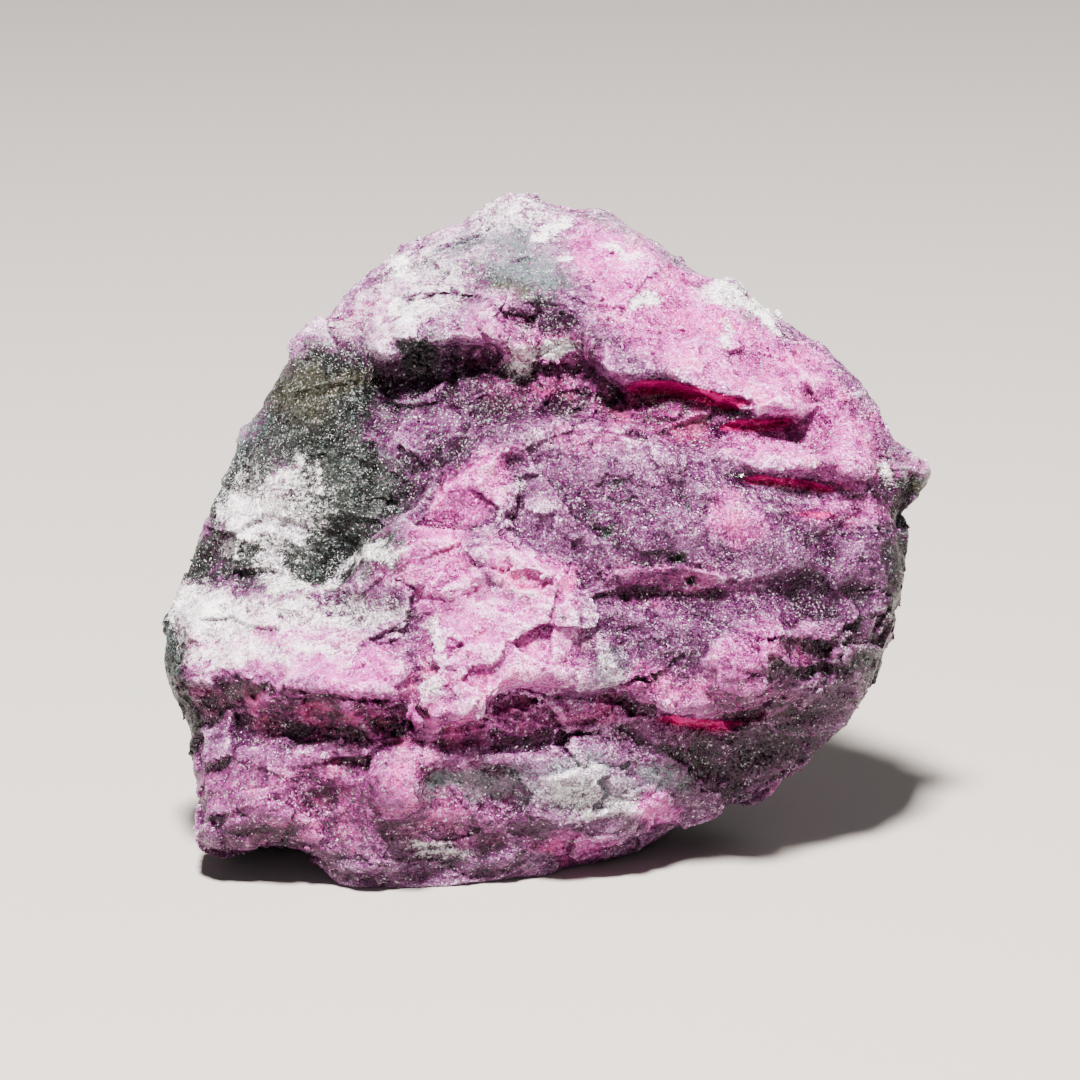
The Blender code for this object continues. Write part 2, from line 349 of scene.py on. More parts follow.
LEDGES = (
    Ledge("shoulder lip left", Run.ACROSS, ((-15, 19.3), (-11, 19.9), (-6, 19.3), (-3.4, 18.2)),
          1.1, 5.0, 1, 0.8),
    Ledge("shoulder lip right", Run.ACROSS, ((5, 16.6), (8, 15.6), (13, 15.8), (18, 14.0), (20, 12.7),
                                             (25, 12.3), (27, 12.2)), 1.9, 6.5, 1, 0.35),
    Ledge("crest upper left edge", Run.ACROSS, ((-20, -4.6), (-15.2, 0.2), (-11.6, 4.8), (-8.2, 6.4),
                                                (-5.4, 8.0), (-3.6, 7.2)), 0.8, 4.0, -1),
    Ledge("crest right edge", Run.UP, ((-10.0, 4.2), (-7.2, 3.6), (-3.6, 1.2), (-1.2, -1.4), (1.6, -3.6),
                                       (4.0, -2.4), (6.6, -2.6)), 0.7, 4.5, -1),
    Ledge("crest step", Run.ACROSS, ((-15, -1.0), (-10.4, 0.4), (-7.4, -0.8), (-4.4, -0.4), (-1, -1.4),
                                     (1.8, -3.4), (4.0, -6.6)), 0.55, 3.0, -1),
    Ledge("chip top", Run.ACROSS, ((-12.4, -5.2), (-10.2, -3.4), (-8.4, -4.8), (-5.6, -2.6), (-3.6, -4.0),
                                   (-0.6, -5.2), (2.6, -6.6)), 0.45, 2.4, -1),
    Ledge("cluster left edge", Run.UP, ((-19, -10.6), (-15, -12.3), (-12.4, -10.6), (-9.8, -11.6),
                                        (-7.6, -10.8)), 0.7, 3.4, 1),
    Ledge("cluster lower edge", Run.ACROSS, ((-12, -18.2), (-8, -17.6), (-4.8, -17.2), (-4.0, -15.0),
                                             (0, -14.6), (5, -15.2), (8.6, -14.4)), 0.5, 4.5, 1, 1.6),
    Ledge("shelf lower edge", Run.ACROSS, ((-35, -14.2), (-28, -14.6), (-22, -15.4), (-16, -15.8),
                                           (-12.6, -15.2)), 0.9, 5.5, 1, 0.8),
    Ledge("shelf step", Run.ACROSS, ((-23, -10.4), (-20, -11.2), (-17, -10.2), (-14.4, -12)), 0.6, 2.2, -1),
    Ledge("right face slip", Run.ACROSS, ((16, 8.4), (21, 7.2), (26, 6.8), (31, 5.4)), 0.4, 2.6),
    Ledge("right face slip low", Run.ACROSS, ((22, 3.0), (26, 2.6), (31, 2.0)), 0.25, 2.0),
    Ledge("right recess lip", Run.ACROSS, ((6, -4.2), (12, -3.6), (18, -4.6), (26, -5.4), (32, -5.2)),
          0.15, 4.0, 1, 1.4),
    Ledge("right block left", Run.UP, ((-1.5, 16.9), (2.0, 16.4), (4.0, 17.0)), 0.35, 3.0, 1),
    Ledge("right block low", Run.UP, ((-13, 15.4), (-10, 17.2), (-8, 19.0)), 0.45, 3.0, 1),
    Ledge("right fold", Run.UP, ((-13, 24.0), (-10.5, 23.6), (-8, 24.4)), 0.25, 2.4, -1),
    Ledge("middle lip", Run.ACROSS, ((1, 10.6), (5, 11.2), (9, 9.8), (14, 10.4)), 0.2, 2.4),
    Ledge("middle lip low", Run.ACROSS, ((4.0, 5.4), (9, 6.4), (13, 4.8)), 0.3, 2.0),
    Ledge("right dark corner", Run.UP, ((-12, 33.2), (-6, 33.9), (-2, 34.2), (3, 33.9)), 0.5, 2.6, -1),
    Ledge("hollow lip", Run.ACROSS, ((8, -16.2), (14, -17.6), (22, -17.4), (29, -15.6)), 1.3, 4.0),
    Ledge("foot lip", Run.ACROSS, ((-33, -20.2), (-26, -20.8), (-19, -20.0), (-12, -21.2), (-4, -20.6)),
          0.35, 2.6, -1),
    Ledge("foot lump left", Run.UP, ((-27, -16.4), (-24, -17.0), (-21.6, -15.8)), 0.3, 3.4, 1),
    Ledge("pale lump top", Run.ACROSS, ((-1, -24.4), (3, -22.8), (8, -23.0), (10, -24.4)), 0.7, 3.0, -1),
    Ledge("pale lump foot", Run.ACROSS, ((-2, -27.2), (3, -28.6), (8, -27.2), (13, -28.0)), 0.6, 2.6, 1),
    Ledge("matrix step", Run.ACROSS, ((-24, 8.0), (-20, 8.8), (-16, 7.4)), 0.5, 2.0, 1),
    Ledge("left rim step", Run.UP, ((-16, -35.6), (-10, -35.8), (-5.5, -34.6)), 0.7, 3.0, 1),
    Ledge("top ridge step", Run.ACROSS, ((-14, 24.2), (-9, 25.2), (-4, 23.4), (0.5, 22.6)), 0.6, 2.6),
)

SLITS = (
    Slit("long slit", ((7.6, 15.0), (10, 15.9), (13, 15.8), (16, 15.0), (19.6, 14.1), (21.4, 13.7)),
         1.3, 0.75),
    Slit("lower slit", ((17.0, 11.2), (19.4, 11.9), (23.4, 12.0), (26.0, 12.1)), 1.0, 0.65),
    Slit("right slit", ((19.0, 6.2), (22, 6.4), (26, 5.9), (30.4, 5.1)), 0.8, 0.5, 0.75),
    Slit("faint slit", ((24.0, 2.8), (27, 2.8), (31, 2.5)), 0.5, 0.2, 0.5),
    Slit("magenta slit", ((10.6, -17.8), (13, -17.6), (17, -18.2), (21, -18.0)), 1.0, 0.5, 0.7),
)

# Small round pits: across, up and radius
PITS = ((0.4, -20.7, 0.45), (2.3, -20.8, 0.45), (-17.7, -18.2, 0.5), (5.4, 0.9, 0.7), (6.2, 0.5, 0.5),
        (14.9, -3.9, 0.6), (13.2, -1.8, 0.6), (8.3, -5.8, 0.45), (3.6, 12.8, 0.35))

PATCHES = (
    # Bright ruby: the upper shoulder, the crest and its chips, the right face's blocks, the foot
    *patches(
        Mineral.PINK,
        (14.5, 22.5, 13, 5.6, -38, 1), (8, 27, 7, 3.6, -25, 0.9), (26, 13.4, 9, 4.6, -48, 0.95),
        (30.5, 9, 4, 4, 0, 0.7), (-7, 4.6, 6, 2.8, 38, 1), (-11.5, -0.6, 5, 2.8, 35, 0.9),
        (-9.5, -4.2, 4, 3, 20, 1), (-1, -3.4, 5, 2.2, -38, 1), (-4.5, -11, 8, 6, 0, 0.85),
        (-18, -13.2, 5.2, 2.5, -8, 1, 0.3), (-26, -11, 11, 4, -6, 0.6), (18.8, 2.2, 2.6, 1.8, 40, 0.7),
        (21, 1.4, 3, 1.6, -20, 0.65), (20, -0.6, 1.6, 1, 0, 0.6),
        (20.2, -11.2, 4.2, 2.8, 30, 0.65, 0.3), (13, -4.8, 9, 1.8, 0, 0.45),
        (24, 9.2, 7, 2.4, -10, 0.8), (30, 3.2, 4.5, 1.8, 0, 0.6), (-15, -22.8, 1.8, 1.4, 20, 0.8),
        (-13.8, -24.8, 2.4, 1.5, -30, 0.8), (11.6, -26.8, 1.9, 1.6, 20, 1, 0.4),
        (2.6, -30.6, 4.4, 1.3, -4, 0.8), (-17, 22.4, 5.5, 2.2, 20, 0.45),
        (-5, 20.8, 4.2, 2.2, -15, 0.45), (-24, -26, 7, 3.6, 0, 0.35), (-8, -28.6, 7, 2.4, 0, 0.4),
        (6, 10, 5, 1.6, 5, 0.45), (-18.6, 7, 1.8, 0.8, -15, 0.6), (-16, -17.6, 20, 2.6, -5, 0.7),
        (10, 13.2, 8, 2.4, -12, 0.75), (0, 17, 7, 3.4, 0, 0.6), (-18, -25, 17, 6, 0, 0.5),
        (14, -16, 12, 3.4, 5, 0.55),
    ),
    # Black-green matrix: the left field, the shoulder's hollow, the right side and small inclusions
    *patches(
        Mineral.MATRIX,
        (-23, 13, 8, 6, 35, 0.9), (-20.6, 5, 7, 6, 20, 0.95), (-23.5, -1.6, 9.5, 3.6, 4, 1),
        (-30.5, 5.5, 3.2, 7, -24, 0.85), (-34.5, -2.6, 2.6, 3.6, -30, 0.8),
        (-37.6, -10, 2, 5.4, 8, 0.95), (-36, -19, 1.8, 5, 14, 0.7), (-12, 18.6, 3, 1.9, 0, 0.75, 0.5),
        (-15, 13, 4, 1.6, 8, 0.45), (35.8, -3.5, 1.5, 8, 4, 0.6), (33.2, -12.6, 1.6, 3.2, -18, 0.7),
        (31, -11, 2.4, 3.6, 10, 0.4), (5.8, 0.8, 0.9, 0.7, 20, 0.8), (13.2, -1.9, 0.9, 0.7, 0, 0.75),
        (14.9, -3.8, 0.7, 0.5, 0, 0.75), (15.2, 3.2, 0.7, 0.8, 0, 0.6), (1.4, -8.6, 0.8, 0.6, 0, 0.75),
        (-20, 20, 5, 2.6, 35, 0.5), (-8, 25.4, 3.6, 1.6, 10, 0.5), (0.4, 25.4, 1.8, 1.2, 30, 0.55),
        (-3.4, 26, 3.6, 2, -35, 0.7), (-9.5, 27.6, 4, 2, 30, 0.45), (36.8, 5.4, 1.6, 1.5, 30, 0.7),
        (-8.6, 26.6, 11, 4.4, 28, 0.37),
    ),
    # White feldspar and pale mica crusts
    *patches(
        Mineral.WHITE,
        (-29.4, 2.4, 3.3, 2.3, 20, 0.78), (-26.2, 1, 2.8, 1.2, -10, 0.66),
        (-27.4, 2.8, 5.8, 4.6, 20, 0.42), (-28, 5.2, 3.2, 0.9, 50, 0.52),
        (-25.4, 7.2, 2.6, 0.7, 65, 0.5), (-22.6, 5.6, 2, 0.6, 80, 0.52),
        (-27, -3.6, 2.6, 1.2, 110, 0.6), (-24.4, -4.6, 1.6, 0.8, -30, 0.55),
        (-20.6, -3.9, 2.2, 0.7, 40, 0.7), (-30.8, -1.6, 1.6, 0.7, -40, 0.52),
        (-32.6, -7.6, 4.4, 2.6, -6, 0.72), (-25.6, -7.6, 5, 1.8, 0, 0.6),
        (-18.6, -7.6, 4.4, 1.9, 4, 0.5), (-30, -11.4, 6, 1.4, -6, 0.58),
        (-22.4, -10.4, 4.6, 1, -4, 0.5), (-16.4, -1.8, 2.6, 0.9, 25, 0.62),
        (-10.8, -10, 0.9, 3.2, 12, 0.5), (-11.4, -15, 1.1, 2.8, -14, 0.38),
        (6.4, -11.2, 0.8, 2, 35, 0.36, 0.3), (4.4, -25.6, 5, 1.9, -8, 0.44),
        (-10.4, -31.2, 2.8, 1.1, 0, 0.48), (-3.2, 32.8, 4.6, 1.9, 0, 0.44),
        (-13, 24.6, 9, 3.4, 30, 0.34), (-14.2, 27.2, 1.4, 1.3, 20, 0.8),
        (-13.4, 22.6, 1.8, 0.9, 0, 0.8), (1.2, 31.2, 1.2, 0.7, 30, 0.8),
        (18.4, 24.8, 3.2, 1.5, -28, 0.66), (22, 22.4, 2.6, 1, -36, 0.7),
        (10.2, 24.8, 1.5, 0.9, 10, 0.7), (8.6, 28.7, 2.2, 0.6, -10, 0.6),
        (18, 21.2, 1.4, 0.7, -50, 0.62), (34.6, 7, 0.8, 1.4, 0, 0.6),
    ),
    *patches(Mineral.PINK, (36, 7.4, 2.2, 2.2, 0, 0.6)),
    *patches(
        Mineral.WHITE,
        (-2.2, 18.2, 1.3, 2, 20, 0.45, 0.5), (1.4, 18.3, 2.4, 0.6, 12, 0.7, 0.4),
        (-1.6, 4.6, 0.6, 0.7, 0, 0.4),
    ),
    # Pale pink veils over the ruby, brightest on the ledges: paler ruby, and painted sheen on the tops lit
    # from above
    *patches(
        Mineral.PALE_AND_PAINTED_SHEEN,
        (-26, -10.5, 10, 3.6, -5, 0.9), (-6, -14, 7, 4.6, 0, 0.7), (-8, -3.6, 5, 2.8, 0, 0.7),
        (9.5, 27.6, 6, 2.2, -20, 0.6), (30, 15, 5, 3, -50, 0.2), (-16, 23.5, 7, 2.4, 25, 0.75),
        (23.5, 8.4, 2.6, 2.2, 0, 0.3), (8, 8, 4.4, 2, -20, 0.35), (16, 21.5, 16, 5, -36, 0.3),
        (-3, -7, 9, 8, -20, 0.9), (-6, 5.6, 5, 2.6, 38, 0.6), (-13, 24, 11, 5, 30, 1),
        (-5, 31, 9, 4, 10, 0.8), (6, -25, 9, 3.6, 0, 0.9), (-14, -12, 8, 4, 0, 0.35),
    ),
    # Ruby that half fills the hollows under the ledges
    *patches(
        Mineral.PINK,
        (3, -17.6, 7.5, 2, 0, 0.6, 0.8), (-2, -17.4, 4.6, 2.4, 0, 0.6, 0.9),
        (-15.4, -17.8, 3.6, 1.9, 0, 0.5, 0.8), (-22, -17, 10, 1.6, -4, 0.5, 0.6),
        (12.5, -3.7, 7.5, 1.4, -3, 0.5, 0.7), (26.6, -10.6, 5.4, 2.6, 5, 0.35, 1.5),
    ),
    # Clear deep ruby, glassy and dark
    *patches(Mineral.PINK, (9.8, -13, 2.2, 1.8, 0, 1)),
    *patches(
        Mineral.DARK_AND_PAINTED_SHADE,
        (9.8, -13, 1.6, 1.3, 0, 1), (5, 14.4, 3, 0.9, -20, 0.8),
    ),
    # Painted shade: purple-black darkening in the hollows, under the ledges and on the sides turned from
    # the light
    *patches(
        Mineral.DARK_AND_PAINTED_SHADE,
        (-5, 15, 10, 3.2, -2, 1), (1.5, 20.4, 4.6, 1.6, 0, 0.8), (-9.5, 8.6, 6, 2.4, 30, 0.8),
        (21, -20.6, 11, 4.6, 12, 0.9), (-2, 13.6, 9, 2.6, -4, 0.9), (29, -8, 5, 8, 0, 0.6),
        (2, -17.8, 8, 2.2, 0, 0.35), (-22, -17.4, 14, 2.4, -6, 1), (-14, -27, 22, 7, 0, 0.4),
        (10.4, 13, 7, 2.2, -8, 1), (36, -4, 3, 12, 4, 1), (-37.4, -12, 2.8, 8, 8, 1),
        (6, 4, 4, 2.6, 0, 0.6), (8, -2, 7, 4, 0, 0.4), (12, -9, 7, 4, 0, 0.3), (20, -12, 6, 4, 0, 0.25),
        (-28, -30, 7, 2, 0, 0.8), (-20.6, 14, 5, 4.6, 30, 0.9), (11, 13, 6.5, 2.2, -8, 1),
    ),
    # Grey-green and grey-blue veils
    *patches(Mineral.TEAL, (-1.8, 29, 4.6, 3.4, -20, 0.78)),
    *patches(
        Mineral.MATRIX,
        (-1.8, 28, 3.6, 2.6, -40, 0.5), (-4, 27.2, 1.5, 0.8, 20, 0.7), (-0.8, 26.6, 1.4, 0.8, -30, 0.7),
        (-5.8, 29.8, 1.2, 0.7, 30, 0.6), (-1.6, 30.6, 1.4, 0.6, 0, 0.6),
    ),
    *patches(
        Mineral.WHITE,
        (0.8, 30.4, 0.9, 0.7, 0, 0.8), (-4.8, 31.2, 1, 0.5, 20, 0.8), (2.4, 27.6, 0.9, 0.5, -30, 0.7),
    ),
    *patches(
        Mineral.TEAL,
        (-8, 29.2, 4, 1.6, 30, 0.6), (-6, -23.9, 6.6, 1.4, 3, 0.68), (4, -24.8, 6, 2.4, 0, 0.7),
        (12, -23.6, 3, 1.6, 0, 0.6), (-31.5, 9, 2, 6, -26, 0.45), (-37, -8, 1.8, 5, 0, 0.35),
        (10.5, 30.6, 6.5, 1.2, -22, 0.7), (20, 24, 5, 1.8, -34, 0.7), (37.6, 7.6, 1.8, 3, 30, 0.5),
        (6.8, -11.6, 1.6, 2, 0, 0.5),
    ),
    *patches(
        Mineral.OLIVE,
        (-25, 14.4, 4.2, 3, -30, 0.5), (-20.6, 15.6, 4.6, 1.2, 20, 0.45), (-4, 24.6, 1.6, 1.3, 0, 0.7),
        (9, 30.8, 5, 1, -20, 0.6), (37.8, 5.6, 1.4, 2, 0, 0.8), (-27, -3.6, 2, 0.8, 0, 0.5),
    ),
)


# --------------------------------------------------------------------------------------------------
# The stone's skin
# --------------------------------------------------------------------------------------------------


def mineral_map(places: np.ndarray) -> dict[Mineral, np.ndarray]:
    """Works out how much of each mineral shows at each point.

    The front follows its named patches. The sides and the back, which have none, follow broad noise,
    so that the same minerals run right round the stone.

    Args:
        places: (across, up, out) of each point.

    Returns:
        For each mineral, one value a point: 0 none, 0.5 at a border, 1 pure.
    """
    front = smooth_step((places[:, 2] + 9.0) / 6.0)
    ragged = warped(warped(places, 7.0, 1.5, 5.0), 2.2, 0.6, 9.0)
    shares = {}
    for mineral in Mineral:
        best = np.zeros(len(places))
        for patch in PATCHES:
            if patch.mineral is mineral:
                best = np.maximum(best, patch.strength * smooth_step(0.9 * patch.nearness(ragged) + 0.5))
        shares[mineral] = best * front
    for slit in SLITS:
        floor = slit.share(places, np.zeros(len(places)), 0.3)
        shares[Mineral.CRIMSON] = np.maximum(shares[Mineral.CRIMSON], slit.redness * floor * front)
    veins = lumps(places * np.array([0.8, 1.2, 1.0]), 22.0, 4, 11.0)
    clouds = lumps(places, 15.0, 4, 23.0)
    crust = lumps(places, 9.0, 4, 31.0)
    behind = 1.0 - front
    shares[Mineral.MATRIX] += behind * smooth_step(0.42 + 1.4 * veins)
    shares[Mineral.PINK] += behind * smooth_step(0.36 + 1.2 * clouds)
    shares[Mineral.WHITE] += behind * smooth_step(0.02 + 1.4 * crust) * 0.75
    shares[Mineral.TEAL] += behind * smooth_step(0.2 - 1.2 * crust + 0.6 * veins) * 0.4
    shares[Mineral.OLIVE] += behind * smooth_step(-0.1 - 1.5 * clouds) * 0.5
    # On the back the dark and pale veils follow broad noise: darker or paler tone by chance.
    shares[Mineral.DARK_AND_PAINTED_SHADE] += behind * (0.3 - 0.5 * clouds)
    shares[Mineral.PALE_AND_PAINTED_SHEEN] += behind * smooth_step(0.3 + 1.2 * clouds) * 0.9
    return shares


@dataclass
class Skin:
    """The stone's fine skin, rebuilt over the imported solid.

    A chip size, like the grain's, gives a flake's width, the step from one to the next, its slope and
    the pattern's shift. A wear reach gives the passes of levelling, and the height that counts as
    fully proud.
    """

    node: str = "raw_ruby"
    cell: float = 0.28
    smoothing: int = 8
    triangles: int = 195000
    back_share: float = 0.35
    crisp_angle: float = 27.0
    pit_depth: float = 0.7
    foot_fade: float = 1.2
    layering: tuple[float, float, float] = (0.7, 1.2, 1.0)
    chip_sizes: tuple[tuple[float, float, float, float], ...] = (
        (5.6, 0.22, 0.15, 4.0), (2.7, 0.08, 0.12, 9.0), (1.4, 0.02, 0.08, 13.0),
    )
    grain_size: tuple[float, float, float, float] = (0.75, 0.008, 0.07, 17.0)
    proudness_reaches: tuple[tuple[int, float], ...] = ((2, 0.06), (12, 0.25), (60, 0.8))

    def build(self) -> bpy.types.Object:
        """Makes the finished skin, with its minerals and its wear stored on its points.

        Returns:
            The stone, with its origin at the world's origin.
        """
        mesh = self.fine_copy()
        self.break_up(mesh)
        mesh = self.thinned(mesh)
        store_minerals(mesh)
        self.store_proudness(mesh)
        mesh.shade_smooth()
        mesh.set_sharp_from_angle(angle=math.radians(self.crisp_angle))
        stone = bpy.data.objects.new("ruby_skin", mesh)
        bpy.context.scene.collection.objects.link(stone)
        return stone

    def fine_copy(self) -> bpy.types.Mesh:
        """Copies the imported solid, joins its loose faces and rebuilds it from even small ones.

        Returns:
            The even skin, in metres.
        """
        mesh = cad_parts[self.node].data.copy()
        joined = bmesh.new()
        joined.from_mesh(mesh)
        bmesh.ops.remove_doubles(joined, verts=joined.verts, dist=1e-6)
        joined.to_mesh(mesh)
        joined.free()
        mesh.materials.clear()
        rough = bpy.data.objects.new("rough", mesh)
        bpy.context.scene.collection.objects.link(rough)
        even = rough.modifiers.new("even", "REMESH")
        even.mode = "VOXEL"
        even.voxel_size = self.cell * MM
        even.use_smooth_shade = True
        smooth = rough.modifiers.new("smooth", "SMOOTH")
        smooth.factor = 0.5
        smooth.iterations = self.smoothing
        return applied(rough)

    def break_up(self, mesh: bpy.types.Mesh) -> None:
        """Breaks the smooth skin into ledges, slits, chips and grain.

        Args:
            mesh: The even skin, changed in place.
        """
        points_m = read_points(mesh)
        places = FACE.place(points_m)
        front = smooth_step((places[:, 2] - 0.5) / 4.0)
        jitter = lumps(places, 1.6, 3, 2.0)
        lift = sum(ledge.lift(places, jitter) for ledge in LEDGES)
        lift = lift - sum(slit.depth * slit.share(places, jitter) for slit in SLITS)
        for patch in PATCHES:
            if patch.lift:
                lift += patch.lift * smooth_step((patch.nearness(places) + 0.25 * jitter) / 0.3)
        for across, up, radius in PITS:
            away = np.hypot(places[:, 0] - across, places[:, 1] - up) / radius
            lift -= self.pit_depth * np.exp(-away * away)
        points_m += (front * lift)[:, None] * FACE.outward() * MM
        normals = self.normals(mesh, points_m)
        rest = smooth_step(points_m[:, 2] / (self.foot_fade * MM))
        points_m += (rest * self.broken(places))[:, None] * normals * MM
        points_m[:, 2] = np.maximum(points_m[:, 2], 0.0)
        mesh.vertices.foreach_set("co", points_m.ravel())
        mesh.update()

    def broken(self, places: np.ndarray) -> np.ndarray:
        """Height of the broken surface: chips, fibres and sugary grain over uneven ground.

        Args:
            places: (across, up, out) of each point.

        Returns:
            One height a point.
        """
        weights = {"chips": np.full(len(places), 0.9), "fibres": np.full(len(places), 0.5)}
        for zone in TEXTURES:
            inside = smooth_step(1.5 * oval(places, zone.centre, zone.size, zone.turn))
            for name, weight in weights.items():
                weights[name] = weight + inside * (getattr(zone, name) - weight)
        layered = places * np.array(self.layering)
        chips = sum(flakes(layered, *sizes) for sizes in self.chip_sizes)
        drawn = warped(places, 9.0, 1.2, 21.0) * np.array([0.16, 1.0, 0.6])
        fibres = 0.07 * lumps(drawn, 0.9, 2, 27.0) + 0.12 * lumps(drawn, 2.4, 2, 33.0)
        height = (0.12 + 0.15 * weights["chips"]) * lumps(layered, 4.6, 2, 8.0)
        height += weights["chips"] * chips + weights["fibres"] * fibres
        return height + flakes(places, *self.grain_size)

    @staticmethod
    def normals(mesh: bpy.types.Mesh, points_m: np.ndarray) -> np.ndarray:
        """Puts points into a mesh and reads back its outward directions.

        Args:
            mesh: The mesh that takes the points.
            points_m: Its new points in metres.

        Returns:
            One unit vector a point.
        """
        mesh.vertices.foreach_set("co", points_m.ravel())
        mesh.update()
        found = np.empty(3 * len(mesh.vertices))
        mesh.vertex_normals.foreach_get("vector", found)
        return found.reshape(-1, 3)

    def thinned(self, mesh: bpy.types.Mesh) -> bpy.types.Mesh:
        """Thins the skin to its triangle budget: first the back alone, then all of it.

        Args:
            mesh: The broken skin.

        Returns:
            The thinned skin.
        """
        thick = bpy.data.objects.new("thick", mesh)
        bpy.context.scene.collection.objects.link(thick)
        back = thick.vertex_groups.new(name="back")
        behind = np.flatnonzero(FACE.place(read_points(mesh))[:, 2] < -1.0)
        back.add(behind.tolist(), 1.0, "REPLACE")
        total = 2 * len(mesh.polygons)
        kept = total - 2 * len(behind) * (1.0 - self.back_share)
        soften = thick.modifiers.new("soften", "SMOOTH")
        soften.factor = 0.35
        soften.iterations = 1
        first = thick.modifiers.new("thin_back", "DECIMATE")
        first.ratio = kept / total
        first.vertex_group = "back"
        last = thick.modifiers.new("thin", "DECIMATE")
        last.ratio = min(1.0, self.triangles / kept)
        return applied(thick)

    def store_proudness(self, mesh: bpy.types.Mesh) -> None:
        """Stores how proud each point stands of the ground around it, close by and further off.

        Args:
            mesh: The mesh, whose attribute "wear" is made: 0.5 is level, more is proud, less is sunk.
        """
        points = read_points(mesh) / MM
        outward = self.normals(mesh, read_points(mesh))
        edges = np.empty(2 * len(mesh.edges), dtype=np.int64)
        mesh.edges.foreach_get("vertices", edges)
        ends = np.concatenate([edges.reshape(-1, 2), edges.reshape(-1, 2)[:, ::-1]])
        count = np.bincount(ends[:, 0], minlength=len(points))[:, None]
        level, wear = points, []
        for passes, reach in self.proudness_reaches:
            for _ in range(passes):
                beside = [np.bincount(ends[:, 0], level[ends[:, 1], k], len(points)) for k in range(3)]
                level = 0.5 * level + 0.5 * np.stack(beside, axis=1) / count
            proud = np.einsum("ij,ij->i", points - level, outward)
            wear.append(np.clip(0.5 + 0.5 * proud / reach, 0.0, 1.0))
        write_shares(mesh, "wear", np.stack([*wear, np.ones(len(points))], axis=1))


def read_points(mesh: bpy.types.Mesh) -> np.ndarray:
    """Reads where a mesh's points are.

    Args:
        mesh: The mesh.

    Returns:
        The points in metres, one row each.
    """
    points_m = np.empty(3 * len(mesh.vertices))
    mesh.vertices.foreach_get("co", points_m)
    return points_m.reshape(-1, 3)


def applied(piece: bpy.types.Object) -> bpy.types.Mesh:
    """Turns an object with modifiers into a plain mesh and removes the object.

    Args:
        piece: The object.

    Returns:
        The mesh with the modifiers applied.
    """
    graph = bpy.context.evaluated_depsgraph_get()
    mesh = bpy.data.meshes.new_from_object(piece.evaluated_get(graph))
    bpy.data.objects.remove(piece)
    return mesh


def store_minerals(mesh: bpy.types.Mesh) -> None:
    """Stores each point's mineral shares as two colour attributes.

    Args:
        mesh: The mesh, whose attributes "minerals" and "veils" are made.
    """
    shares = mineral_map(FACE.place(read_points(mesh)))
    groups = {
        "minerals": (Mineral.PINK, Mineral.MATRIX, Mineral.WHITE, Mineral.CRIMSON),
        "veils": (Mineral.TEAL, Mineral.OLIVE, Mineral.DARK_AND_PAINTED_SHADE, Mineral.PALE_AND_PAINTED_SHEEN),
    }
    for name, members in groups.items():
        write_shares(mesh, name, np.stack([shares[mineral] for mineral in members], axis=1))


